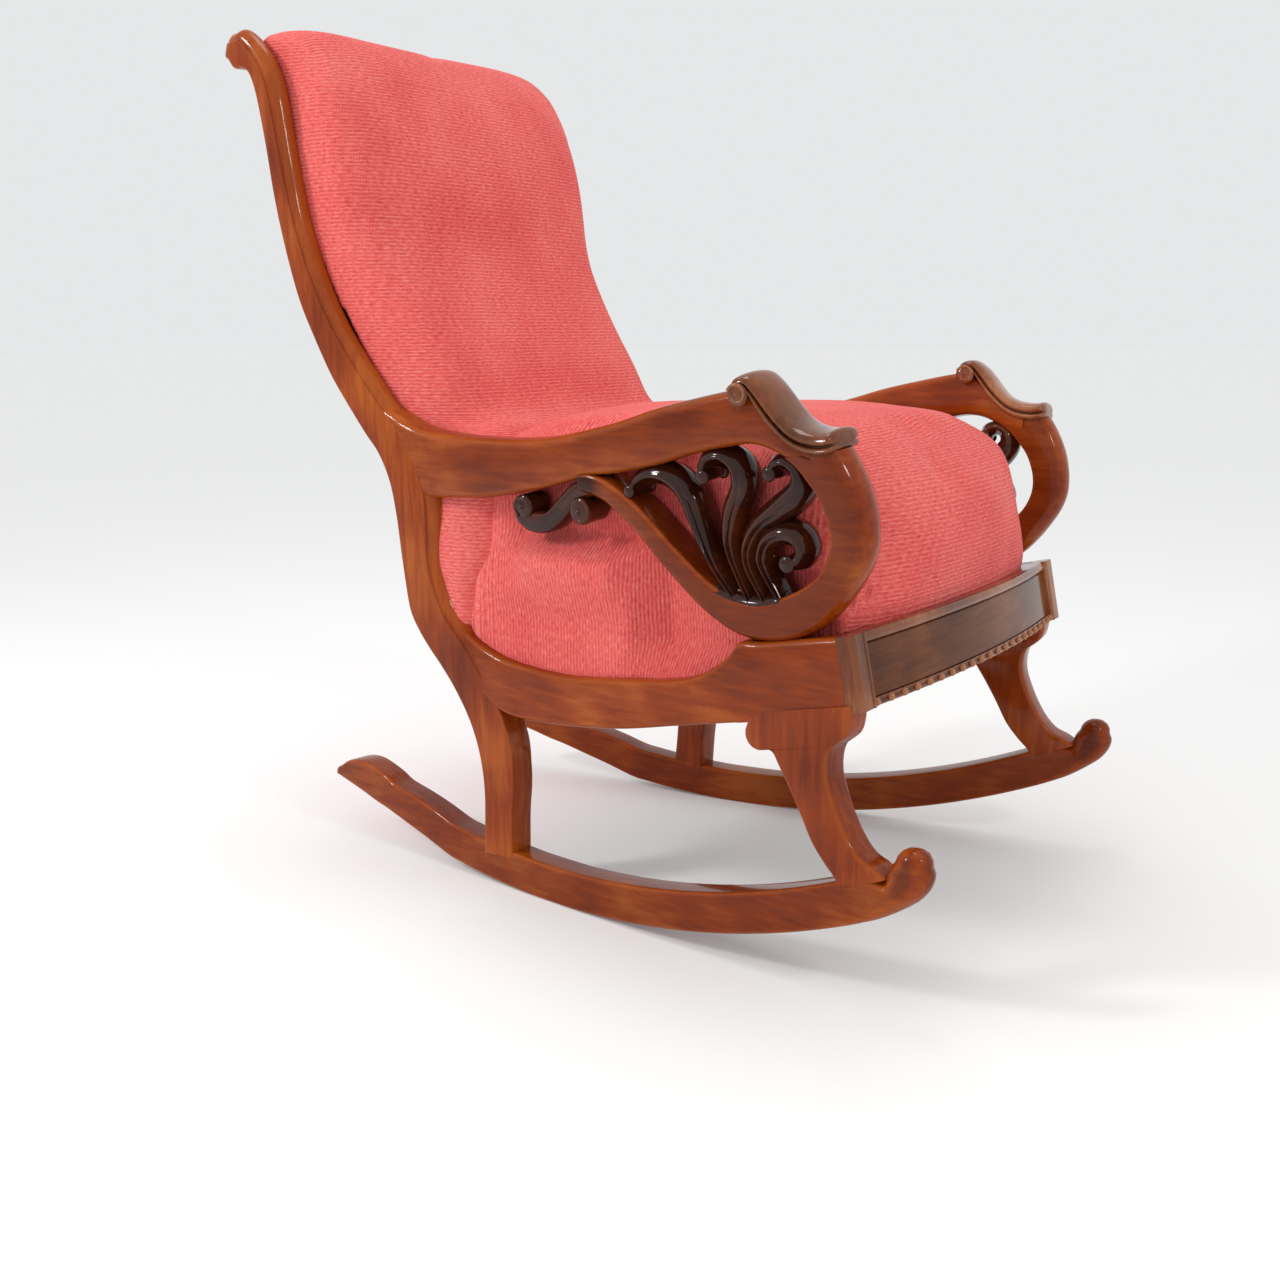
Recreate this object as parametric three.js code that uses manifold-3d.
// A mahogany rocking chair with scrolled arms, a bowed front rail and a stuffed seat and back.
// Millimetres. X runs across the chair, Y from the front to the back, Z up from the floor.
import * as THREE from 'three';
import { mergeVertices } from 'three/addons/utils/BufferGeometryUtils.js';
import Module from 'manifold-3d';

const wasm = await Module();
wasm.setup();

// Driving sizes

// The side elevation is drawn on squares, as a chair maker's pattern is.
const squareLong = 100;
const squareHigh = 100;

const frontHalfWidth = 309;
const legOverhang = 3;
const footHalfWidth = 249;
const armFootInset = 38.7;
const stileLeanRun = 36.4;
const armLeanRun = 98;
const leanRise = 1000;

const clearance = 0.3;
const overrun = 4;

const rockerThick = 38;
const rockerRadius = 1140;
const rockerDepth = 49;
const restFlatHalf = 30;

const legThick = 38;
const stileFootThick = 40;
const stileTopThick = 34;
const beadProud = 13;
const quirkDeep = 2;
const railThick = 36;
const armFrontThick = 46;
const armRearThick = 38;
const scrollThick = 44;
const woodRound = 5;
const knobRound = 13;
const armRound = 9;

const knuckleOverhang = 7;
const knuckleVoluteRadius = 12;
const firstVoluteRadius = 16;
const secondVoluteRadius = 14;
const voluteDome = 5;

const cornerBlockWide = 32;
const cornerBlockDeep = 20;
const cornerRound = 7;
const cornerReedRadius = 2.5;
const frontBow = 25;
const frontRailThick = 24;
const frontRailSetBack = 5;
const lipHigh = 13;
const lipProud = 4;
const lipSteps = 6;
const beadingHigh = 9;
const beadingProud = 2;
const pearlRadius = 4.6;
const pearlCount = 22;

const rearRailThick = 24;
const rearRailHigh = 60;
const backRailThick = 20;
const crossTenonLong = 6;
const backRailHigh = 46;

const seatWall = 24;
const backPanelThick = 4;
const hessianThick = 3;
const webbingThick = 2.4;
const webbingWide = 50;
const springRadius = 42;
const wireRadius = 2;
const springWaistRadius = 28;
const dustCoverThick = 2;
const braceLeg = 62;
const braceHigh = 34;
const dowelRadius = 5;
const dowelLong = 46;

const finishes = {
  mahogany: { color: 0x8f4320, roughness: 0.25, metalness: 0 },
  darkMahogany: { color: 0x4e2314, roughness: 0.2, metalness: 0 },
  ribbedCloth: { color: 0xc9545c, roughness: 0.95, metalness: 0 },
  beech: { color: 0xb98d5c, roughness: 0.7, metalness: 0 },
  jute: { color: 0x9c8357, roughness: 0.95, metalness: 0 },
  springSteel: { color: 0x7d7f84, roughness: 0.35, metalness: 0.9 },
  blackLinen: { color: 0x201f21, roughness: 0.95, metalness: 0 },
};

const materials = Object.fromEntries(
  Object.entries(finishes).map(([name, finish]) => [name, new THREE.MeshStandardMaterial(finish)]),
);

// Solids

// A closed geometry with its faces turned outwards, as a solid that can be cut and joined.
function solid(geometry) {
  const bare = new THREE.BufferGeometry();
  bare.setAttribute('position', geometry.getAttribute('position').clone());
  if (geometry.index) bare.setIndex(geometry.index.clone());
  const merged = mergeVertices(bare, 1e-4);
  const triVerts = new Uint32Array(merged.index.array);
  const vertProperties = new Float32Array(merged.attributes.position.array);
  if (signedVolume(vertProperties, triVerts) < 0) {
    for (let i = 0; i < triVerts.length; i += 3) {
      const first = triVerts[i];
      triVerts[i] = triVerts[i + 1];
      triVerts[i + 1] = first;
    }
  }
  return new wasm.Manifold(new wasm.Mesh({ numProp: 3, vertProperties, triVerts }));
}

function signedVolume(positions, triangles) {
  const corner = (k) => new THREE.Vector3().fromArray(positions, 3 * triangles[k]);
  let sum = 0;
  for (let i = 0; i < triangles.length; i += 3) {
    sum += corner(i).dot(corner(i + 1).cross(corner(i + 2)));
  }
  return sum;
}

function cut(body, ...tools) {
  return tools.reduce((left, tool) => left.subtract(tool), body);
}

function join(...bodies) {
  return bodies.reduce((sum, body) => sum.add(body));
}

function geometryOf(body) {
  const mesh = body.getMesh();
  const geometry = new THREE.BufferGeometry();
  geometry.setAttribute('position', new THREE.BufferAttribute(new Float32Array(mesh.vertProperties), 3));
  geometry.setIndex(new THREE.BufferAttribute(new Uint32Array(mesh.triVerts), 1));
  return geometry;
}

// Mirror image of a body, for the other side of the chair.
function mirrored(body) {
  const geometry = geometryOf(body);
  geometry.scale(-1, 1, 1);
  return solid(geometry);
}

function piece(name, body, material) {
  const geometry = geometryOf(body);
  geometry.computeVertexNormals();
  const result = new THREE.Mesh(geometry, material);
  result.name = name;
  return result;
}

// A closed loft through rings of points, all rings alike in count, capped at both ends.
function loft(rings, capOutline) {
  const count = rings[0].length;
  const positions = [];
  for (const ring of rings) {
    for (const point of ring) positions.push(point.x, point.y, point.z);
  }
  const index = [];
  for (let r = 0; r + 1 < rings.length; r += 1) {
    for (let k = 0; k < count; k += 1) {
      const a = r * count + k;
      const b = r * count + ((k + 1) % count);
      index.push(a, b, b + count, a, b + count, a + count);
    }
  }
  const turn = Math.sign(THREE.ShapeUtils.area(capOutline));
  const last = (rings.length - 1) * count;
  for (const cap of THREE.ShapeUtils.triangulateShape(capOutline, [])) {
    const sameTurn = turn * THREE.ShapeUtils.area(cap.map((k) => capOutline[k])) > 0;
    const [a, b, c] = sameTurn ? cap : cap.toReversed();
    index.push(c, b, a);
    index.push(last + a, last + b, last + c);
  }
  const geometry = new THREE.BufferGeometry();
  geometry.setAttribute('position', new THREE.Float32BufferAttribute(positions, 3));
  geometry.setIndex(index);
  return geometry;
}

// Rows of two edge points each, as they stand or smoothed to a count of steps.
function stationsOf(rows, steps) {
  if (!steps) return rows.map(([a, b, c, d]) => [new THREE.Vector3(a, b, 0), new THREE.Vector3(c, d, 0)]);
  const columns = rows[0].length / 2;
  const curves = [];
  for (let c = 0; c < columns; c += 1) {
    const points = rows.map((row) => new THREE.Vector3(row[2 * c], row[2 * c + 1], 0));
    curves.push(new THREE.CatmullRomCurve3(points, false, 'catmullrom', 0.5));
  }
  const result = [];
  for (let i = 0; i <= steps; i += 1) {
    result.push(curves.map((curve) => curve.getPoint(i / steps)));
  }
  return result;
}

// Pattern squares to millimetres, for rows of points across a member.
function onPattern(rowsInSquares) {
  return rowsInSquares.map((row) => row.map((value, k) => value * (k % 2 ? squareHigh : squareLong)));
}

// Sections across a member: width is measured from its lower edge to its upper edge, depth inwards
// from its outer face. Each gives the same count of points at every station.

function squareSection(width, depth) {
  return [
    [0, 0],
    [width, 0],
    [width, depth],
    [0, depth],
  ];
}

function roundedSection(round) {
  return (width, depth) => {
    const r = Math.min(round, width / 3, depth / 3);
    return [
      [r, 0],
      [width - r, 0],
      [width, r],
      [width, depth - r],
      [width - r, depth],
      [r, depth],
      [0, depth - r],
      [0, r],
    ];
  };
}

// The upper edge carries a half-round bead between two quirks.
function beadSection(beadShare) {
  return (width, depth) => {
    const r = Math.min(woodRound, width / 3);
    const proud = beadProud * beadShare;
    const quirk = quirkDeep * beadShare;
    const arc = [];
    const arcSteps = 3;
    for (let k = 0; k <= arcSteps; k += 1) {
      const turn = (Math.PI * k) / arcSteps;
      const across = depth / 2 - (depth / 2 - quirk) * Math.cos(turn);
      arc.push([width + proud * Math.sin(turn), across]);
    }
    return [[r, 0], [width, 0], ...arc, [width, depth], [r, depth], [0, depth - r], [0, r]];
  };
}

// The lower edge is one full round, as on the front of the arm scroll.
function noseSection(round, noseShare) {
  return (width, depth) => {
    const r = Math.min(round, width / 3, depth / 3);
    const nose = Math.min(depth * noseShare, width / 2);
    return [
      [width - r, 0],
      [width, r],
      [width, depth - r],
      [width - r, depth],
      [nose, depth],
      [nose / 4, depth * 0.8],
      [0, depth / 2],
      [nose / 4, depth * 0.2],
      [nose, 0],
    ];
  };
}

// A member of one side: a loft between its lower and upper edge rows, in the side's own plane, with
// its thickness inwards from the plane. Grow makes it larger all round, for cutting its neighbours.
function member({ rows, steps, section, plane, depthAt, outset = 0, grow = 0 }) {
  const stations = stationsOf(rows, steps);
  const final = stations.length - 1;
  const rings = [];
  let capOutline = null;
  stations.forEach(([low, high], i) => {
    const across = high.clone().sub(low);
    const width = across.length() + 2 * grow;
    across.normalize();
    const share = i / final;
    const depth = depthAt(share) + 2 * outset + 2 * grow;
    const shape = typeof section === 'function' ? section : section.at(share);
    const points = shape(width, depth);
    if (i === 0) capOutline = points.map(([w, d]) => new THREE.Vector2(w, d));
    const along = new THREE.Vector3(-across.y, across.x, 0);
    const next = stations[Math.min(i + 1, final)];
    const before = stations[Math.max(i - 1, 0)];
    const travel = next[0].clone().add(next[1]).sub(before[0]).sub(before[1]);
    if (along.dot(travel) < 0) along.negate();
    const end = i === 0 ? -grow : i === final ? grow : 0;
    rings.push(points.map(([w, d]) => {
      const point = low.clone().addScaledVector(across, w - grow).addScaledVector(along, end);
      point.z = d - outset - grow;
      return point.applyMatrix4(plane);
    }));
  });
  return solid(loft(rings, capOutline));
}

// Side planes: the outer faces of the right side, X negative. Along the plane is the member's
// length, up the plane its height, and inwards its depth. A plane leans outwards as it rises and
// draws in towards the back.

function sidePlane({ halfWidth, lean = 0, taper = 0 }) {
  const along = new THREE.Vector3(Math.sin(taper), Math.cos(taper), 0);
  const outUp = new THREE.Vector3(-Math.tan(lean), 0, 1);
  const inward = along.clone().cross(outUp).normalize();
  const up = inward.clone().cross(along);
  return new THREE.Matrix4().makeBasis(along, up, inward).setPosition(-halfWidth, 0, 0);
}

// Squares across the chair from its middle to the front corner.
const frontHalfShare = 3.09;
const squareWide = frontHalfWidth / frontHalfShare;

const stileLean = Math.atan2(stileLeanRun, leanRise);
const armLean = Math.atan2(armLeanRun, leanRise);
const stilePlane = sidePlane({ halfWidth: footHalfWidth, lean: stileLean });

function stileHalfWidthAt(height) {
  return footHalfWidth + height * Math.tan(stileLean);
}

// Where the stile's front edge meets the rocker, the rail and the arm, in pattern squares.
const stileMeetsShares = {
  rocker: [4.9, 0.5],
  rail: [5.25, 2.7],
  arm: [6.2, 5.5],
};

function planeToStile(halfWidth, [along, high], lean = 0) {
  const height = high * squareHigh;
  const drawnIn = halfWidth + height * Math.tan(lean) - stileHalfWidthAt(height);
  return sidePlane({ halfWidth, lean, taper: Math.atan2(drawnIn, along * squareLong) });
}

const lowPlane = planeToStile(frontHalfWidth + legOverhang, stileMeetsShares.rocker);
const railPlane = planeToStile(frontHalfWidth, stileMeetsShares.rail);
const armPlane = planeToStile(frontHalfWidth - armFootInset, stileMeetsShares.arm, armLean);

function even(depth) {
  return () => depth;
}

function tapering(from, to) {
  return (share) => from + (to - from) * share;
}

// Rocker

// The runner's arc touches the floor here, in pattern squares.
const contactShare = 4.3;
const arcFrontShare = -0.55;
const arcRearShare = 6.2;

// Upturned knob at the front, from its tip back to the arc: lower edge, upper edge. Its heights are
// above the front end of the arc.
const knobShares = [
  [-0.93, 0.76, -0.76, 0.76],
  [-1.02, 0.68, -0.67, 0.7],
  [-1.05, 0.53, -0.58, 0.58],
  [-1.0, 0.37, -0.54, 0.46],
  [-0.86, 0.21, -0.49, 0.39],
];

const knobEndShare = 0.19;

// Raised toe at the back, from the arc to its tip.
const toeShares = [
  [6.65, 0.3, 6.48, 0.75],
  [7.06, 0.42, 6.87, 0.85],
  [7.47, 0.54, 7.3, 0.94],
  [7.72, 0.6, 7.53, 1.04],
  [8.03, 0.69, 7.94, 1.15],
  [8.34, 0.77, 8.29, 1.11],
  [8.58, 0.83, 8.54, 0.97],
];

function rockerArcRows() {
  const contact = contactShare * squareLong;
  const from = Math.asin((arcFrontShare * squareLong - contact) / rockerRadius);
  const to = Math.asin((arcRearShare * squareLong - contact) / rockerRadius);
  const flat = Math.asin(restFlatHalf / rockerRadius);
  const frontSteps = 5;
  const rearSteps = 2;
  const turns = [];
  for (let k = 0; k <= frontSteps; k += 1) turns.push(from + ((-flat - from) * k) / frontSteps);
  for (let k = 0; k <= rearSteps; k += 1) turns.push(flat + ((to - flat) * k) / rearSteps);
  const lift = rockerRadius * Math.cos(flat);
  return turns.map((turn) => [
    contact + rockerRadius * Math.sin(turn),
    lift - rockerRadius * Math.cos(turn),
    contact + (rockerRadius - rockerDepth) * Math.sin(turn),
    lift - (rockerRadius - rockerDepth) * Math.cos(turn),
  ]);
}

function rockerRows() {
  const arc = rockerArcRows();
  const rise = arc[0][1];
  const knob = onPattern(knobShares).map(([a, b, c, d]) => [a, b + rise, c, d + rise]);
  return [...knob, ...arc, ...onPattern(toeShares)];
}

function rocker({ grow = 0, outset = 0 } = {}) {
  return member({
    rows: rockerRows(),
    section: { at: (share) => roundedSection(share < knobEndShare ? knobRound : woodRound) },
    plane: lowPlane,
    depthAt: even(rockerThick),
    outset,
    grow,
  });
}

// The height of the runner's top edge.
function rockerTopAt(along) {
  const lift = rockerRadius * Math.cos(Math.asin(restFlatHalf / rockerRadius));
  return lift - Math.sqrt((rockerRadius - rockerDepth) ** 2 - (along - contactShare * squareLong) ** 2);
}

// All that lies under the top of the runner's arc: the leg stands on the rocker, never through it.
function underRocker() {
  const arc = rockerArcRows();
  const [along, high] = arc[0];
  const before = [along - squareLong, high - squareHigh, along - squareLong, high];
  return member({
    rows: [before, ...arc.map(([a, b, c, d]) => [a, b - squareHigh, c, d])],
    section: squareSection,
    plane: lowPlane,
    depthAt: even(rockerThick),
    outset: overrun,
  });
}

// Front leg: a sabre leg under a bracket with two ears. Rear edge, front edge.

const frontLegShares = [
  [1.16, 3.02, -0.12, 3.3],
  [1.25, 2.8, -0.1, 3.08],
  [1.2, 2.66, -0.06, 2.96],
  [1.08, 2.61, 0.02, 2.88],
  [0.97, 2.64, 0.12, 2.79],
  [0.88, 2.62, 0.16, 2.63],
  [0.8, 2.5, 0.15, 2.45],
  [0.66, 2.28, 0.08, 2.24],
  [0.51, 2.02, -0.02, 2.02],
  [0.36, 1.74, -0.15, 1.81],
  [0.2, 1.54, -0.29, 1.67],
  [0.06, 1.4, -0.45, 1.6],
  [-0.02, 1.29, -0.58, 1.52],
];

function frontLeg(grow = 0) {
  return member({
    rows: onPattern(frontLegShares),
    steps: 14,
    section: roundedSection(woodRound),
    plane: lowPlane,
    depthAt: even(legThick),
    grow,
  });
}

// Side rail, from its front end to the stile: bottom edge, top edge. The top has a step down from
// the foot of the arm scroll to a hollow U that runs up into the stile.

const sideRailShares = [
  [-0.26, 3.24, -0.1, 4.03],
  [0.17, 3.15, 0.27, 3.96],
  [0.59, 3.05, 0.69, 3.88],
  [0.99, 2.94, 1.07, 3.81],
  [1.29, 2.87, 1.33, 3.78],
  [1.41, 2.85, 1.45, 3.63],
  [1.6, 2.81, 1.66, 3.46],
  [1.93, 2.74, 1.98, 3.29],
  [2.38, 2.64, 2.43, 3.18],
  [2.93, 2.52, 2.94, 3.12],
  [3.44, 2.44, 3.44, 3.06],
  [3.94, 2.39, 3.93, 3.02],
  [4.43, 2.36, 4.43, 3.03],
  [4.8, 2.36, 4.9, 3.08],
  [5.05, 2.42, 5.2, 3.16],
  [5.26, 2.55, 5.51, 3.29],
  [5.46, 2.68, 5.86, 3.5],
];

function sideRail(grow = 0) {
  return member({
    rows: onPattern(sideRailShares),
    section: roundedSection(woodRound),
    plane: railPlane,
    depthAt: even(railThick),
    grow,
  });
}

// Stile: rear leg and back upright in one, from the rocker to the scroll: rear edge, front edge.

const stileShares = [
  [5.41, 0.42, 4.93, 0.42],
  [5.37, 0.95, 4.9, 0.95],
  [5.36, 1.35, 4.85, 1.35],
  [5.4, 1.72, 4.845, 1.65],
  [5.48, 2.03, 4.86, 1.95],
  [5.6, 2.31, 4.95, 2.25],
  [5.78, 2.61, 5.12, 2.58],
  [5.97, 2.86, 5.35, 2.9],
  [6.17, 3.09, 5.6, 3.24],
  [6.34, 3.32, 5.83, 3.5],
  [6.46, 3.57, 5.98, 3.8],
  [6.52, 3.98, 6.07, 4.12],
  [6.56, 4.37, 6.09, 4.45],
  [6.6, 4.8, 6.07, 4.82],
  [6.68, 5.23, 6.1, 5.18],
  [6.84, 5.58, 6.24, 5.53],
  [7.06, 5.84, 6.45, 5.9],
  [7.34, 6.21, 6.7, 6.13],
  [7.6, 6.58, 7.03, 6.52],
  [7.84, 7.03, 7.35, 6.94],
  [8.05, 7.48, 7.61, 7.35],
  [8.2, 7.97, 7.83, 7.82],
  [8.31, 8.45, 7.99, 8.28],
  [8.39, 8.9, 8.11, 8.75],
  [8.45, 9.38, 8.2, 9.28],
  [8.52, 9.85, 8.28, 9.78],
  [8.59, 10.17, 8.36, 10.18],
  [8.68, 10.36, 8.48, 10.45],
  [8.81, 10.42, 8.65, 10.66],
  [8.93, 10.43, 8.81, 10.77],
  [9.02, 10.54, 8.94, 10.75],
];

// The bead starts where the rail's top runs into the stile.
const beadStartShare = 0.2;
const beadFullShare = 0.3;
const beadLeastShare = 0.15;

function stile({ grow = 0, outset = 0 } = {}) {
  const fade = (share) => THREE.MathUtils.clamp(
    (share - beadStartShare) / (beadFullShare - beadStartShare),
    beadLeastShare,
    1,
  );
  return member({
    rows: onPattern(stileShares),
    section: { at: (share) => beadSection(fade(share)) },
    plane: stilePlane,
    depthAt: tapering(stileFootThick, stileTopThick),
    outset,
    grow,
  });
}

// Arm, from the wedge under the knuckle to the stile: underside, top.

const armShares = [
  [0.3, 5.72, 0.28, 5.96],
  [0.53, 5.78, 0.5, 6.04],
  [0.69, 5.86, 0.69, 6.19],
  [0.89, 5.93, 0.89, 6.4],
  [1.1, 5.95, 1.1, 6.5],
  [1.34, 5.91, 1.29, 6.5],
  [1.85, 5.8, 1.8, 6.4],
  [2.37, 5.65, 2.32, 6.28],
  [2.88, 5.55, 2.83, 6.13],
  [3.4, 5.47, 3.35, 6.01],
  [3.92, 5.33, 3.87, 5.91],
  [4.45, 5.22, 4.39, 5.86],
  [4.97, 5.13, 4.9, 5.85],
  [5.49, 5.09, 5.41, 5.86],
  [6.01, 5.06, 5.92, 5.91],
  [6.22, 5.05, 6.27, 6.0],
  [6.34, 5.06, 6.51, 6.11],
  [6.46, 5.08, 6.76, 6.23],
];

function arm(grow = 0) {
  return member({
    rows: onPattern(armShares),
    section: roundedSection(armRound),
    plane: armPlane,
    depthAt: tapering(armFrontThick, armRearThick),
    grow,
  });
}

// Points of a stem given by its centre line and its width, as rows of two edges.
function stemRows(points, widest) {
  const centre = points.map(([along, high]) => new THREE.Vector3(along * squareLong, high * squareHigh, 0));
  return points.map(([, , widthShare], i) => {
    const before = centre[Math.max(i - 1, 0)];
    const after = centre[Math.min(i + 1, centre.length - 1)];
    const side = after.clone().sub(before).normalize();
    side.set(-side.y, side.x, 0);
    const half = (widest * widthShare) / 2;
    const low = centre[i].clone().addScaledVector(side, half);
    const high = centre[i].clone().addScaledVector(side, -half);
    return [low.x, low.y, high.x, high.y];
  });
}

const bossSides = 12;

// A round boss across a side plane, domed on both faces.
function boss({ at: [along, high], radius, depth, outset, dome, plane, grow = 0 }) {
  const r = radius + grow;
  const from = -outset - grow;
  const to = depth + outset + grow;
  const profile = [
    [0, from - dome],
    [r * 0.6, from - dome * 0.6],
    [r, from + dome * 0.6],
    [r, to - dome * 0.6],
    [r * 0.6, to + dome * 0.6],
    [0, to + dome],
  ].map(([x, y]) => new THREE.Vector2(x, y));
  const geometry = new THREE.LatheGeometry(profile, bossSides);
  geometry.rotateX(Math.PI / 2);
  geometry.translate(along * squareLong, high * squareHigh, 0);
  geometry.applyMatrix4(plane);
  return solid(geometry);
}

// Arm scroll: the open loop from under the knuckle, round the front and up the swan neck to the
// underside of the arm: outer edge, inner edge.

const scrollShares = [
  [-0.02, 5.94, 0.62, 5.84],
  [-0.12, 5.78, 0.48, 5.74],
  [-0.21, 5.6, 0.35, 5.6],
  [-0.28, 5.4, 0.22, 5.43],
  [-0.32, 5.17, 0.13, 5.2],
  [-0.32, 4.95, 0.11, 5.0],
  [-0.26, 4.74, 0.15, 4.83],
  [-0.14, 4.53, 0.24, 4.67],
  [0.02, 4.31, 0.38, 4.54],
  [0.2, 4.12, 0.52, 4.45],
  [0.42, 3.96, 0.7, 4.36],
  [0.7, 3.84, 0.87, 4.29],
  [1.02, 3.8, 1.06, 4.25],
  [1.33, 3.83, 1.26, 4.26],
  [1.62, 3.95, 1.45, 4.32],
  [1.9, 4.13, 1.7, 4.45],
  [2.17, 4.36, 1.95, 4.64],
  [2.39, 4.56, 2.18, 4.83],
  [2.59, 4.76, 2.4, 5.03],
  [2.76, 4.91, 2.6, 5.2],
  [2.94, 5.05, 2.81, 5.34],
  [3.11, 5.17, 3.04, 5.46],
  [3.28, 5.23, 3.27, 5.52],
  [3.44, 5.26, 3.43, 5.52],
];

const scrollTailShares = [
  [3.26, 5.36, 0.8],
  [3.52, 5.31, 0.85],
  [3.71, 5.18, 0.85],
  [3.88, 5.02, 0.9],
  [4.08, 4.89, 0.95],
  [4.33, 4.88, 1],
  [4.48, 4.95, 0.85],
  [4.52, 5.06, 0.6],
];
const scrollTailWide = 27;
const scrollTailInset = 6;
const firstVoluteShare = [3.49, 5.07];
const secondVoluteShare = [4.4, 5.07];
const scrollNose = 0.28;

function armScroll(grow = 0) {
  const loop = member({
    rows: onPattern(scrollShares),
    section: noseSection(woodRound, scrollNose),
    plane: armPlane,
    depthAt: even(scrollThick),
    grow,
  });
  const tail = member({
    rows: stemRows(scrollTailShares, scrollTailWide),
    steps: 9,
    section: roundedSection(scrollTailWide / 4),
    plane: armPlane,
    depthAt: even(scrollThick),
    outset: -scrollTailInset,
    grow,
  });
  const volute = { depth: scrollThick, outset: -scrollTailInset, dome: voluteDome, plane: armPlane, grow };
  const first = boss({ at: firstVoluteShare, radius: firstVoluteRadius, ...volute });
  const second = boss({ at: secondVoluteShare, radius: secondVoluteRadius, ...volute });
  return join(loop, tail, first, second);
}

// Carving: four fronds that rise from the foot of the loop and curl over. Centre line and width.

const frondWide = 27;
const carvingInset = 3;
const frondSteps = 7;

const frondShares = [
  [
    [1.36, 4.3, 0.5],
    [1.59, 4.58, 0.65],
    [1.74, 4.85, 0.85],
    [1.85, 5.1, 0.95],
    [1.94, 5.31, 1],
    [2.07, 5.47, 1],
    [2.25, 5.56, 0.95],
    [2.46, 5.56, 0.8],
    [2.63, 5.47, 0.65],
    [2.71, 5.34, 0.35],
  ],
  [
    [1.12, 4.22, 0.5],
    [1.28, 4.53, 0.6],
    [1.39, 4.8, 0.75],
    [1.4, 5.02, 0.9],
    [1.35, 5.24, 1],
    [1.25, 5.44, 1.05],
    [1.24, 5.61, 1],
    [1.32, 5.75, 0.9],
    [1.47, 5.81, 0.8],
    [1.63, 5.78, 0.7],
    [1.73, 5.67, 0.55],
    [1.68, 5.56, 0.3],
  ],
  [
    [0.92, 4.25, 0.5],
    [1.08, 4.5, 0.6],
    [1.17, 4.69, 0.7],
    [1.15, 4.89, 0.85],
    [1.01, 5.1, 0.95],
    [0.79, 5.26, 1.1],
    [0.6, 5.41, 1.15],
    [0.5, 5.56, 1],
    [0.52, 5.71, 0.85],
    [0.65, 5.79, 0.7],
    [0.79, 5.76, 0.55],
    [0.84, 5.66, 0.35],
  ],
  [
    [0.74, 4.3, 0.5],
    [0.9, 4.54, 0.65],
    [0.99, 4.73, 0.8],
    [0.92, 4.93, 0.9],
    [0.73, 5.03, 1],
    [0.56, 5, 0.95],
    [0.49, 4.87, 0.85],
    [0.54, 4.75, 0.65],
    [0.64, 4.7, 0.45],
  ],
];

const carvingFootShares = [
  [1.6, 4.32, 0.9],
  [1.33, 4.25, 0.9],
  [1.05, 4.24, 0.9],
  [0.75, 4.3, 0.9],
];

function carving(grow = 0) {
  const shape = {
    section: roundedSection(frondWide / 3),
    plane: armPlane,
    depthAt: even(scrollThick),
    outset: -carvingInset,
    grow,
  };
  const fronds = frondShares.map((points) => member({
    rows: stemRows(points, frondWide),
    steps: frondSteps,
    ...shape,
  }));
  const foot = member({ rows: stemRows(carvingFootShares, frondWide), steps: 6, ...shape });
  return join(foot, ...fronds);
}

// The room beside the seat where the loop and its carving stand on the rail.
const scrollFootShares = [
  [0.2, 3.6, 0.2, 5.6],
  [1.95, 3.6, 1.95, 5.6],
];

function scrollFootRoom() {
  return member({
    rows: onPattern(scrollFootShares),
    section: squareSection,
    plane: armPlane,
    depthAt: even(scrollThick),
    outset: clearance,
  });
}

// Knuckle: the S-curved roll on the front of the arm: lower edge, upper edge.

const knuckleShares = [
  [1.12, 6.42, 1.22, 6.46],
  [1.11, 6.49, 1.23, 6.56],
  [1.08, 6.53, 1.17, 6.66],
  [1.0, 6.5, 1.03, 6.69],
  [0.9, 6.36, 0.9, 6.62],
  [0.78, 6.2, 0.78, 6.5],
  [0.65, 6.08, 0.66, 6.35],
  [0.51, 5.98, 0.54, 6.23],
  [0.36, 5.92, 0.4, 6.16],
  [0.18, 5.9, 0.22, 6.13],
  [0.04, 5.93, 0.06, 6.13],
  [-0.03, 6.0, -0.03, 6.07],
];
const knuckleVoluteShare = [1.1, 6.48];
const knuckleDome = 3;

function knuckle(grow = 0) {
  const roll = member({
    rows: onPattern(knuckleShares),
    steps: 14,
    section: roundedSection(armRound),
    plane: armPlane,
    depthAt: even(armFrontThick),
    outset: knuckleOverhang,
    grow,
  });
  const volute = boss({
    at: knuckleVoluteShare,
    radius: knuckleVoluteRadius,
    depth: armFrontThick,
    outset: knuckleOverhang - knuckleDome,
    dome: knuckleDome,
    plane: armPlane,
    grow,
  });
  return join(roll, volute);
}

// Joinery of one side: tenons at a third of the thickness, and dowels.

const railTenonShares = [
  [4.9, 2.46, 5.0, 2.95],
  [5.6, 2.52, 5.72, 3.06],
];
const armTenonShares = [
  [5.99, 5.22, 6.04, 5.73],
  [6.41, 5.22, 6.66, 5.78],
];

function tenon({ rows, plane, depth, grow = 0 }) {
  return member({
    rows: onPattern(rows),
    section: squareSection,
    plane,
    depthAt: even(depth),
    outset: -depth / 3,
    grow,
  });
}

function railTenon(grow = 0) {
  return tenon({ rows: railTenonShares, plane: railPlane, depth: railThick, grow });
}

function armTenon(grow = 0) {
  return tenon({ rows: armTenonShares, plane: armPlane, depth: armRearThick, grow });
}

// A place on the runner's top edge, in pattern squares.
function onRockerTop(alongShare) {
  return [alongShare, rockerTopAt(alongShare * squareLong) / squareHigh];
}

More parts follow.
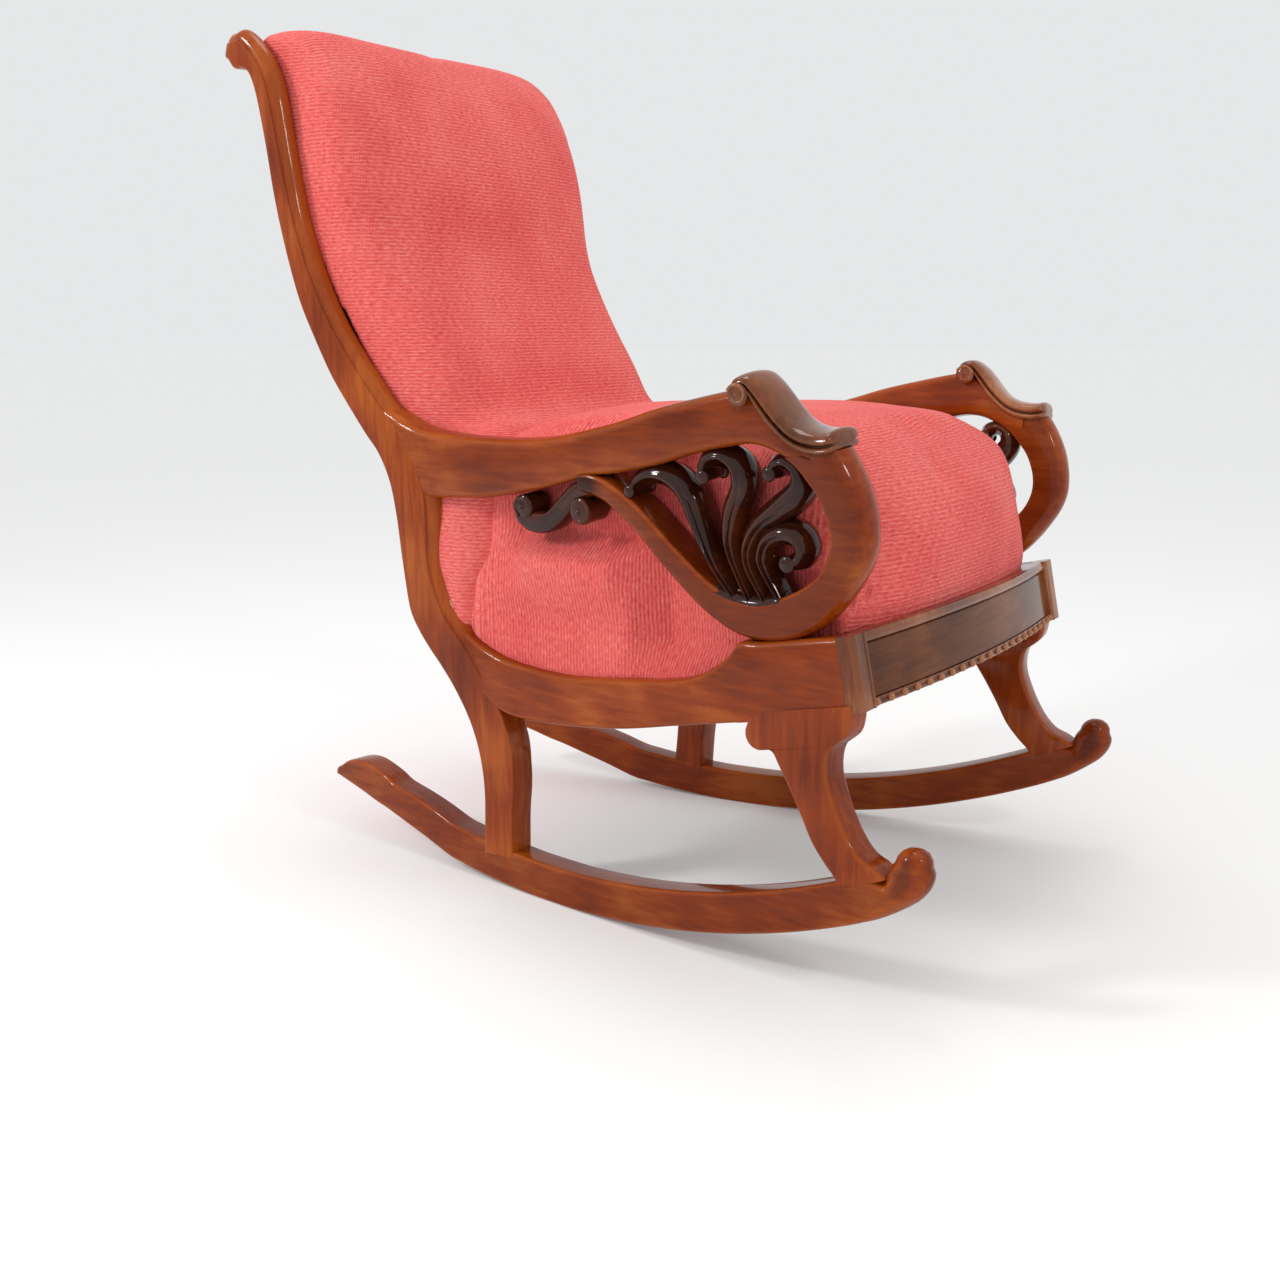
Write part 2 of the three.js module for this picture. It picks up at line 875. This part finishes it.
// Middle of each dowel in pattern squares; its lean is an angle from upright.
const dowelPlaces = [
  { name: 'dowel_rocker_front_leg', share: onRockerTop(-0.19), lean: 0.67, plane: lowPlane, depth: legThick },
  { name: 'dowel_rocker_stile', share: onRockerTop(5.17), lean: 0, plane: lowPlane, depth: legThick },
  { name: 'dowel_leg_rail', share: [0.45, 3.06], lean: 0, plane: railPlane, depth: railThick },
  { name: 'dowel_rail_scroll', share: [1.2, 3.8], lean: 0, plane: armPlane, depth: scrollThick },
  { name: 'dowel_scroll_arm', share: [3.2, 5.49], lean: 0, plane: armPlane, depth: scrollThick },
];

function dowel({ share: [along, high], lean, plane, depth }, grow = 0) {
  const radius = dowelRadius + grow;
  const geometry = new THREE.CylinderGeometry(radius, radius, dowelLong + 2 * grow, 12);
  geometry.rotateZ(-lean);
  geometry.translate(along * squareLong, high * squareHigh, depth / 2);
  geometry.applyMatrix4(plane);
  return solid(geometry);
}

// Front of the seat frame. Its face leans back as the front end of the side rail does: across the
// chair, up the face and out from the face.

function throughPlane(plane, along, high, depth = 0) {
  return new THREE.Vector3(along, high, depth).applyMatrix4(plane);
}

const [[railFootAlong, railFootHigh, railHeadAlong, railHeadHigh]] = onPattern(sideRailShares);
const frontFoot = throughPlane(railPlane, railFootAlong, railFootHigh);
const frontHead = throughPlane(railPlane, railHeadAlong, railHeadHigh);

const frontPlane = (() => {
  const across = new THREE.Vector3(1, 0, 0);
  const up = frontHead.clone().sub(frontFoot).setX(0).normalize();
  return new THREE.Matrix4()
    .makeBasis(across, up, across.clone().cross(up))
    .setPosition(0, frontFoot.y, frontFoot.z);
})();
const frontHigh = frontHead.clone().sub(frontFoot).setX(0).length();

// The block has a quarter round on its outer corner and a small reed beside the rail's face.
function cornerBlock(grow = 0) {
  const outer = -frontHalfWidth;
  const inner = cornerBlockWide - frontHalfWidth;
  const back = -cornerBlockDeep - grow;
  const round = cornerRound + grow;
  const reed = cornerReedRadius + grow;
  const reedFrom = Math.PI - Math.asin(grow / reed);
  const shape = new THREE.Shape();
  shape.moveTo(outer - grow, back);
  shape.lineTo(outer - grow, -cornerRound);
  shape.absarc(outer + cornerRound, -cornerRound, round, Math.PI, Math.PI / 2, true);
  shape.absarc(inner - cornerReedRadius, 0, reed, reedFrom, 0, true);
  shape.lineTo(inner + grow, back);
  const depth = frontHigh + 2 * grow;
  const geometry = new THREE.ExtrudeGeometry(shape, { depth, bevelEnabled: false, curveSegments: 5 });
  geometry.rotateX(-Math.PI / 2);
  geometry.scale(1, 1, -1);
  geometry.translate(0, -grow, 0);
  geometry.applyMatrix4(frontPlane);
  return solid(geometry);
}

// The full width of the side rail's end in front of the block's back face.
function railEndRoom(grow = 0) {
  const wide = 3 * railThick;
  const deep = cornerBlockDeep + grow + railThick;
  const geometry = new THREE.BoxGeometry(wide, frontHigh + 2 * railThick, deep);
  geometry.translate(wide / 2 - railThick - frontHalfWidth, frontHigh / 2, railThick - deep / 2);
  geometry.applyMatrix4(frontPlane);
  return solid(geometry);
}

// Pieces that follow the bow of the front: a section of points, out from the face and up it, swept
// across the chair between the corner blocks.
const bowHalf = frontHalfWidth - cornerBlockWide;
const bowRadius = (bowHalf ** 2 + frontBow ** 2) / (2 * frontBow);
const bowFace = frontBow - frontRailSetBack;
const bowSteps = 16;

function onBow(turn, out, high) {
  const radius = bowRadius + out;
  return new THREE.Vector3(radius * Math.sin(turn), high, bowFace - bowRadius + radius * Math.cos(turn))
    .applyMatrix4(frontPlane);
}

function bowed(section) {
  const reach = Math.asin((bowHalf + overrun) / bowRadius);
  const rings = [];
  for (let i = 0; i <= bowSteps; i += 1) {
    const turn = reach * ((2 * i) / bowSteps - 1);
    rings.push(section.map(([out, high]) => onBow(turn, out, high)));
  }
  return solid(loft(rings, section.map(([out, high]) => new THREE.Vector2(out, high))));
}

function bowedStrip(proud, deep, from, to) {
  return bowed([
    [proud, from],
    [proud, to],
    [-deep, to],
    [-deep, from],
  ]);
}

function frontRail() {
  return bowedStrip(0, frontRailThick, beadingHigh + clearance, frontHigh - lipHigh - clearance);
}

// The room of rail, lip and beading together, and in front of them.
function frontRoom() {
  return bowedStrip(frontBow, frontRailThick + clearance, -clearance, frontHigh + clearance);
}

function frontLip() {
  const nose = lipHigh / 2;
  const middle = frontHigh - nose;
  const section = [];
  for (let k = 0; k <= lipSteps; k += 1) {
    const turn = Math.PI * (k / lipSteps - 1 / 2);
    section.push([lipProud - nose + nose * Math.cos(turn), middle + nose * Math.sin(turn)]);
  }
  section.push([-frontRailThick, middle + nose], [-frontRailThick, middle - nose]);
  return bowed(section);
}

function frontBeading() {
  const strip = bowedStrip(beadingProud, frontRailThick, 0, beadingHigh);
  const reach = Math.asin((bowHalf - pearlRadius) / bowRadius);
  const pearls = [];
  for (let k = 0; k < pearlCount; k += 1) {
    const turn = reach * ((2 * k) / (pearlCount - 1) - 1);
    const pearl = new THREE.SphereGeometry(pearlRadius, 6, 4);
    const place = onBow(turn, beadingProud, beadingHigh / 2);
    pearl.translate(place.x, place.y, place.z);
    pearls.push(solid(pearl));
  }
  return join(strip, ...pearls);
}

// Cross rails between the stiles. Each has a thinner tenon at both ends that enters the stile.

const crossRails = {
  rear_rail: { share: [5.42, 2.66], thick: rearRailThick, high: rearRailHigh, pitch: 0 },
  back_bottom_rail: { share: [6.35, 4.2], thick: backRailThick, high: backRailHigh, pitch: -0.03 },
  back_top_rail: { share: [8.37, 9.95], thick: backRailThick, high: backRailHigh, pitch: -0.175 },
};

function bar({ halfLong, thick, high, share: [along, up], pitch, grow = 0 }) {
  const geometry = new THREE.BoxGeometry(2 * (halfLong + grow), thick + 2 * grow, high + 2 * grow);
  geometry.rotateX(pitch);
  geometry.translate(0, along * squareLong, up * squareHigh);
  return solid(geometry);
}

function crossRail(place, grow = 0) {
  const halfLong = stileHalfWidthAt(place.share[1] * squareHigh) - stileTopThick / 2;
  return bar({ ...place, halfLong, grow });
}

function crossTenon(place, grow = 0) {
  const halfLong = stileHalfWidthAt(place.share[1] * squareHigh) - stileTopThick + crossTenonLong;
  return bar({ ...place, halfLong, thick: place.thick / 2, high: (place.high * 2) / 3, grow });
}

const crossPlaces = Object.values(crossRails);
const wholeStile = stile();
const stileBody = cut(
  wholeStile,
  rocker({ grow: clearance, outset: overrun * 2 }),
  railTenon(clearance),
  armTenon(clearance),
  ...crossPlaces.map((place) => crossTenon(place, clearance)),
  ...dowelPlaces.map((place) => dowel(place, clearance)),
);
const stileRoom = stile({ grow: clearance });
const stileShoulder = stile({ grow: clearance, outset: stileFootThick });

function drilled(body) {
  return cut(body, ...dowelPlaces.map((place) => dowel(place, clearance)));
}

function bothSides(body) {
  return [body, mirrored(body)];
}

const sideRailBody = drilled(join(cut(sideRail(), stileShoulder, railEndRoom(clearance)), railTenon()));
const railRoom = cut(sideRail(clearance), railEndRoom());
const cornerRoom = cornerBlock(clearance);
const frontLegBody = drilled(cut(
  frontLeg(),
  rocker({ grow: clearance }),
  underRocker(),
  railRoom,
  cornerRoom,
  frontRoom(),
));
const knuckleBody = knuckle();
const armLong = largestPart(cut(arm(), stileShoulder, knuckle(clearance)));
const armBody = drilled(join(armLong, armTenon()));
const scrollBody = drilled(cut(armScroll(), arm(clearance), knuckle(clearance), sideRail(clearance)));
const carvingBody = cut(carving(), armScroll(clearance), arm(clearance));

const frontCutters = [...bothSides(cornerRoom), ...bothSides(railRoom)];
const frontRailBody = cut(frontRail(), ...frontCutters);
const lipBody = cut(frontLip(), ...frontCutters);
const beadingBody = cut(frontBeading(), ...frontCutters);

const crossBodies = Object.entries(crossRails).map(([name, place]) => {
  const between = cut(crossRail(place), ...bothSides(stileRoom), ...bothSides(railRoom));
  return [name, cut(join(between, crossTenon(place)), ...bothSides(railTenon(clearance)))];
});
const crossRooms = crossPlaces.map((place) => crossRail(place, clearance));

// Seat webbing and dust cover, both in planes that fall from the front rail to the rear rail.

const webbingFrontShare = [0, 3.38];
const webbingRearShare = [5.3, 2.64];
const dustCoverDrop = 12;
const lengthwiseStrapShares = [-1.2, 0, 1.2];
const crosswiseStrapShares = [1.35, 2.7, 4.05];

const seatSlope = Math.atan2(
  (webbingRearShare[1] - webbingFrontShare[1]) * squareHigh,
  (webbingRearShare[0] - webbingFrontShare[0]) * squareLong,
);

function seatPlaneHigh(y) {
  return webbingFrontShare[1] * squareHigh + (y - webbingFrontShare[0] * squareLong) * Math.tan(seatSlope);
}

// A flat piece in the seat plane, through a point of it, lifted square to it.
function seatSheet({ wide, long, thick, x = 0, y, lift = 0 }) {
  const geometry = new THREE.BoxGeometry(wide, long, thick);
  geometry.translate(0, 0, lift + thick / 2);
  geometry.rotateX(seatSlope);
  geometry.translate(x, y, seatPlaneHigh(y));
  return solid(geometry);
}

const frameRooms = [
  ...bothSides(cornerRoom),
  ...bothSides(railRoom),
  ...bothSides(stileRoom),
  frontRoom(),
  crossRooms[0],
];
const seatMiddle = (webbingFrontShare[0] + webbingRearShare[0]) * squareLong / 2;
const seatLong = (webbingRearShare[0] - webbingFrontShare[0]) * squareLong;

function largestPart(body) {
  return body.decompose().reduce((best, part) => (part.volume() > best.volume() ? part : best));
}

// What is left inside the frame when the frame's own room is cut away.
function insideFrame(body) {
  return largestPart(cut(body, ...frameRooms));
}

const crosswiseStraps = crosswiseStrapShares.map((share) => insideFrame(seatSheet({
  wide: 2 * (frontHalfWidth - railThick / 2),
  long: webbingWide,
  thick: webbingThick,
  y: share * squareLong,
})));
const lengthwiseStraps = lengthwiseStrapShares.map((share) => insideFrame(seatSheet({
  wide: webbingWide,
  long: seatLong + 2 * frontBow,
  thick: webbingThick,
  x: share * squareWide,
  y: seatMiddle,
  lift: webbingThick + clearance,
})));
const dustCover = insideFrame(seatSheet({
  wide: 2 * frontHalfWidth,
  long: seatLong + 2 * frontBow,
  thick: dustCoverThick,
  y: seatMiddle,
  lift: -dustCoverDrop,
}));

const lengthwiseRooms = lengthwiseStrapShares.map((share) => seatSheet({
  wide: webbingWide + 2 * clearance,
  long: 2 * seatLong,
  thick: webbingThick + 2 * clearance,
  x: share * squareWide,
  y: seatMiddle,
  lift: webbingThick,
}));

// Corner brace: a triangle of wood in the inner corner of the seat frame, clear of the straps.
function brace(y, towardsMiddle) {
  const corner = throughPlane(railPlane, y, 0, railThick).x - overrun;
  const shape = new THREE.Shape();
  shape.moveTo(corner, -towardsMiddle * overrun);
  shape.lineTo(corner + braceLeg, -towardsMiddle * overrun);
  shape.lineTo(corner, towardsMiddle * braceLeg);
  const geometry = new THREE.ExtrudeGeometry(shape, { depth: braceHigh, bevelEnabled: false });
  geometry.translate(0, 0, -braceHigh / 4);
  geometry.rotateX(seatSlope);
  geometry.translate(0, y, seatPlaneHigh(y));
  return insideFrame(cut(solid(geometry), ...lengthwiseRooms));
}

const frontBrace = brace(frontFoot.y + frontRailThick, 1);
const rearBrace = brace(crossRails.rear_rail.share[0] * squareLong - rearRailThick / 2, -1);

// Springs stand on the lengthwise straps and carry the hessian.

const hessianShare = 4.74;
const springShares = [
  [-1.2, 1.35],
  [1.2, 1.35],
  [-1.2, 4.05],
  [1.2, 4.05],
];
const springTurns = 4.5;
const springFlatShare = 0.16;
const springSteps = 36;
const wireSides = 4;

function spring([across, along]) {
  const x = across * squareWide;
  const y = along * squareLong;
  const rise = (webbingThick + clearance + webbingThick + clearance) / Math.cos(seatSlope);
  const top = hessianShare * squareHigh - clearance - wireRadius;
  const at = (share) => {
    const turn = 2 * Math.PI * springTurns * share;
    const pinch = Math.abs(2 * share - 1) ** 2;
    const radius = springWaistRadius + (springRadius - springWaistRadius) * pinch;
    const px = x + radius * Math.cos(turn);
    const py = y + radius * Math.sin(turn);
    const foot = seatPlaneHigh(py) + rise + wireRadius / Math.cos(seatSlope);
    const climb = THREE.MathUtils.smoothstep(share, springFlatShare, 1 - springFlatShare);
    return new THREE.Vector3(px, py, THREE.MathUtils.lerp(foot, top, climb));
  };
  const rings = [];
  const sides = [];
  for (let k = 0; k < wireSides; k += 1) {
    const turn = (2 * Math.PI * k) / wireSides;
    sides.push(new THREE.Vector2(wireRadius * Math.cos(turn), wireRadius * Math.sin(turn)));
  }
  for (let i = 0; i <= springSteps; i += 1) {
    const share = i / springSteps;
    const here = at(share);
    const outward = here.clone().sub(new THREE.Vector3(x, y, here.z)).normalize();
    rings.push(sides.map((side) => here.clone()
      .addScaledVector(outward, side.x)
      .add(new THREE.Vector3(0, 0, side.y))));
  }
  return solid(loft(rings, sides));
}

// Cushions

// One quarter of a cushion's outline, from the middle of its front to the middle of its side.
const quarterShares = [
  [0, 1],
  [0.35, 1],
  [0.62, 0.995],
  [0.8, 0.975],
  [0.9, 0.94],
  [0.955, 0.885],
  [0.985, 0.8],
  [1, 0.6],
  [1, 0.3],
];

function outlineShares() {
  const front = quarterShares.map(([u, v]) => [u, -v]);
  const rear = quarterShares.toReversed().map(([u, v]) => [u, v]);
  const half = [...front, [1, 0], ...rear];
  const otherHalf = half.slice(1, -1).toReversed().map(([u, v]) => [-u, v]);
  return [...half, ...otherHalf];
}

// Levels of the seat cushion, in pattern squares: height, front edge at the middle, rear edge, half
// width at the front and at the rear, then how far the front bows and the front corners drop.
const seatLevelShares = [
  [2.7, -0.28, 5.6, 2.9, 2.36, 0.26, 0],
  [4.06, -0.28, 5.6, 2.9, 2.36, 0.26, 0],
  [4.2, -0.3, 5.6, 2.83, 2.34, 0.26, 0],
  [4.4, -0.28, 5.3, 2.72, 2.32, 0.26, 0],
  [4.8, -0.21, 5.2, 2.62, 2.31, 0.29, 0],
  [5.3, -0.14, 5.2, 2.59, 2.31, 0.32, 0.02],
  [5.58, -0.06, 5.22, 2.59, 2.31, 0.34, 0.08],
  [5.78, 0.1, 5.18, 2.56, 2.28, 0.34, 0.14],
  [5.92, 0.32, 5.05, 2.47, 2.2, 0.32, 0.16],
  [6.0, 0.7, 4.75, 2.15, 1.95, 0.24, 0.13],
  [6.05, 1.3, 4.2, 1.5, 1.4, 0.12, 0.05],
  [6.07, 2.1, 3.3, 0.7, 0.65, 0.04, 0],
];

function seatLoft({ inset = 0, top = Infinity }) {
  const outline = outlineShares();
  const rings = [];
  for (const [high, front, rear, frontHalf, rearHalf, bow, drop] of onSeatPattern(seatLevelShares)) {
    if (high > top) break;
    rings.push(outline.map(([u, v]) => {
      const half = THREE.MathUtils.lerp(frontHalf, rearHalf, (v + 1) / 2) - inset;
      const frontAt = front + bow * u * u + inset;
      const rearAt = rear - inset;
      const y = THREE.MathUtils.lerp(frontAt, rearAt, (v + 1) / 2);
      return new THREE.Vector3(u * half, y, high - drop * u * u * v * v);
    }));
  }
  if (top < Infinity) rings.push(rings.at(-1).map((point) => point.clone().setZ(top)));
  return solid(loft(rings, outline.map(([u, v]) => new THREE.Vector2(u, v))));
}

function onSeatPattern(rows) {
  return rows.map(([high, front, rear, frontHalf, rearHalf, bow, drop]) => [
    high * squareHigh,
    front * squareLong,
    rear * squareLong,
    frontHalf * squareWide,
    rearHalf * squareWide,
    bow * squareLong,
    drop * squareHigh,
  ]);
}

// All that lies below the tops of the side rails, from the front of the seat to behind it.
function underRails() {
  const shape = new THREE.Shape();
  const topLine = onPattern(sideRailShares).map(([, , along, high]) => throughPlane(railPlane, along, high));
  const first = topLine[0];
  const last = topLine.at(-3);
  shape.moveTo(first.y - squareLong, first.z + clearance);
  for (const point of topLine.slice(0, -2)) shape.lineTo(point.y, point.z + clearance);
  shape.lineTo(last.y + squareLong, last.z + clearance);
  shape.lineTo(last.y + squareLong, 0);
  shape.lineTo(first.y - squareLong, 0);
  const half = frontHalfWidth + overrun;
  const geometry = new THREE.ExtrudeGeometry(shape, { depth: 2 * half, bevelEnabled: false });
  geometry.applyMatrix4(new THREE.Matrix4().makeBasis(
    new THREE.Vector3(0, 1, 0),
    new THREE.Vector3(0, 0, 1),
    new THREE.Vector3(1, 0, 0),
  ));
  geometry.translate(-half, 0, 0);
  return solid(geometry);
}

// Rows of the back cushion at its middle, from its foot to its top: rear, front.
const backPadShares = [
  [6.02, 3.86, 5.16, 4.02],
  [6.15, 4.12, 5.05, 4.35],
  [6.22, 4.5, 5.06, 4.75],
  [6.22, 5.0, 5.1, 5.25],
  [6.3, 5.45, 5.28, 5.8],
  [6.57, 5.92, 5.8, 6.05],
  [6.9, 6.26, 6.12, 6.6],
  [7.3, 6.8, 6.5, 7.22],
  [7.68, 7.42, 6.86, 8.0],
  [8.0, 8.1, 6.97, 8.38],
  [8.2, 8.75, 7.07, 8.95],
  [8.3, 9.35, 7.24, 9.55],
  [8.38, 9.9, 7.5, 10.12],
  [8.52, 10.35, 7.85, 10.6],
  [8.75, 10.6, 8.15, 10.9],
  [8.85, 10.72, 8.55, 10.98],
];
const backAcrossShares = [1, 0.985, 0.95, 0.88, 0.74, 0.5, 0.25, 0];
const backHollowShare = 0.06;
const padSquareness = 8;

function backPad(grow = 0) {
  const rows = onPattern(backPadShares);
  const rings = rows.map(([rearY, rearZ, frontY, frontZ], i) => {
    const rear = new THREE.Vector3(0, rearY, rearZ);
    const toFront = new THREE.Vector3(0, frontY, frontZ).sub(rear);
    const deep = toFront.length();
    toFront.normalize();
    const along = new THREE.Vector3(0, -toFront.z, toFront.y).multiplyScalar(-1);
    const end = i === 0 ? -grow : i === rows.length - 1 ? grow : 0;
    const half = stileHalfWidthAt(rearZ) - stileTopThick - clearance + grow;
    const halfRing = backAcrossShares.map((s) => {
      const fullness = (1 - s ** padSquareness) ** (1 / 3) * (1 - backHollowShare * s * s);
      const out = deep * fullness + (s < 1 ? grow : -grow);
      return [s * half, out];
    });
    const front = [...halfRing, ...halfRing.slice(0, -1).toReversed().map(([x, out]) => [-x, out])];
    const ring = [...front, [-half / 2, -grow], [half / 2, -grow]];
    return ring.map(([x, out]) => rear.clone()
      .addScaledVector(toFront, out)
      .addScaledVector(along, end)
      .setX(x));
  });
  return solid(loft(rings, rings[0].map((point) => new THREE.Vector2(point.x, -point.y))));
}

// Sheets on the back, drawn in side elevation along a line of points and swept across the chair.
function backSheet({ line, behind, thick, halfWide, x = 0 }) {
  const shape = new THREE.Shape();
  line.forEach(([y, z], i) => (i ? shape.lineTo(y + behind, z) : shape.moveTo(y + behind, z)));
  for (const [y, z] of line.toReversed()) shape.lineTo(y + behind + thick, z);
  const geometry = new THREE.ExtrudeGeometry(shape, { depth: 2 * halfWide, bevelEnabled: false });
  geometry.applyMatrix4(new THREE.Matrix4().makeBasis(
    new THREE.Vector3(0, 1, 0),
    new THREE.Vector3(0, 0, 1),
    new THREE.Vector3(1, 0, 0),
  ));
  geometry.translate(x - halfWide, 0, 0);
  return solid(geometry);
}

const backPanelInset = 7;
const backStrapShares = [-0.9, 0.9];
const panelLine = onPattern(stileShares)
  .slice(11, 27)
  .map(([y, z]) => [y, z]);
const strapLine = onPattern(backPadShares)
  .slice(1, 13)
  .map(([y, z]) => [y, z]);

const backRailRooms = crossRooms.slice(1);
const backPanelBody = largestPart(cut(
  backSheet({
    line: panelLine,
    behind: -backPanelInset,
    thick: backPanelThick,
    halfWide: stileHalfWidthAt(panelLine.at(-1)[1]) - stileTopThick / 2,
  }),
  ...bothSides(stileRoom),
  ...backRailRooms,
));
const backPadBody = cut(
  backPad(),
  ...bothSides(stileRoom),
  ...bothSides(arm(clearance)),
  ...backRailRooms,
);
const backStrapBodies = backStrapShares.map((share) => cut(
  backSheet({
    line: strapLine,
    behind: clearance,
    thick: webbingThick,
    halfWide: webbingWide / 2,
    x: share * squareLong,
  }),
  ...backRailRooms,
));

const hessianTop = hessianShare * squareHigh + hessianThick;
const hessianBody = cut(
  seatLoft({ inset: seatWall + clearance, top: hessianTop }),
  seatLoft({ inset: 0, top: hessianTop - hessianThick }),
  backPad(clearance),
);
const seatPadBody = cut(
  seatLoft({}),
  seatLoft({ inset: seatWall, top: hessianTop + clearance }),
  underRails(),
  backPad(clearance),
  frontRoom(),
  crossRooms[0],
  ...bothSides(cornerRoom),
  ...bothSides(railRoom),
  ...bothSides(stileRoom),
  ...bothSides(frontLeg(clearance)),
  ...bothSides(armScroll(clearance)),
  ...bothSides(carving(clearance)),
  ...bothSides(scrollFootRoom()),
  ...bothSides(arm(clearance)),
);

// The chair

const sideBodies = {
  rocker: [drilled(rocker()), materials.mahogany],
  front_leg: [frontLegBody, materials.mahogany],
  stile: [stileBody, materials.mahogany],
  side_rail: [sideRailBody, materials.mahogany],
  corner_block: [cornerBlock(), materials.mahogany],
  arm: [armBody, materials.mahogany],
  arm_knuckle: [knuckleBody, materials.darkMahogany],
  arm_scroll: [scrollBody, materials.darkMahogany],
  arm_carving: [carvingBody, materials.darkMahogany],
};
for (const place of dowelPlaces) sideBodies[place.name] = [dowel(place), materials.beech];

const group = new THREE.Group();
for (const [name, [body, material]] of Object.entries(sideBodies)) {
  group.add(piece(`right_${name}`, body, material));
  group.add(piece(`left_${name}`, mirrored(body), material));
}
const middle = {
  front_rail: [frontRailBody, materials.mahogany],
  front_lip: [lipBody, materials.darkMahogany],
  front_beading: [beadingBody, materials.darkMahogany],
  seat_cushion: [seatPadBody, materials.ribbedCloth],
  back_cushion: [backPadBody, materials.ribbedCloth],
  back_panel: [backPanelBody, materials.ribbedCloth],
  hessian: [hessianBody, materials.jute],
  dust_cover: [dustCover, materials.blackLinen],
};
crossBodies.forEach(([name, body]) => { middle[name] = [body, materials.beech]; });
crosswiseStraps.forEach((body, k) => { middle[`crosswise_strap_${k + 1}`] = [body, materials.jute]; });
lengthwiseStraps.forEach((body, k) => { middle[`lengthwise_strap_${k + 1}`] = [body, materials.jute]; });
backStrapBodies.forEach((body, k) => { middle[`back_strap_${k + 1}`] = [body, materials.jute]; });
springShares.forEach((share, k) => { middle[`spring_${k + 1}`] = [spring(share), materials.springSteel]; });
middle.brace_front_right = [frontBrace, materials.beech];
middle.brace_front_left = [mirrored(frontBrace), materials.beech];
middle.brace_rear_right = [rearBrace, materials.beech];
middle.brace_rear_left = [mirrored(rearBrace), materials.beech];
for (const [name, [body, material]] of Object.entries(middle)) {
  group.add(piece(name, body, material));
}

// The origin stands on the floor, under the middle of the whole chair.
const bounds = new THREE.Box3().setFromObject(group);
const centre = bounds.getCenter(new THREE.Vector3());
for (const mesh of group.children) mesh.geometry.translate(-centre.x, -centre.y, -bounds.min.z);

export default group;
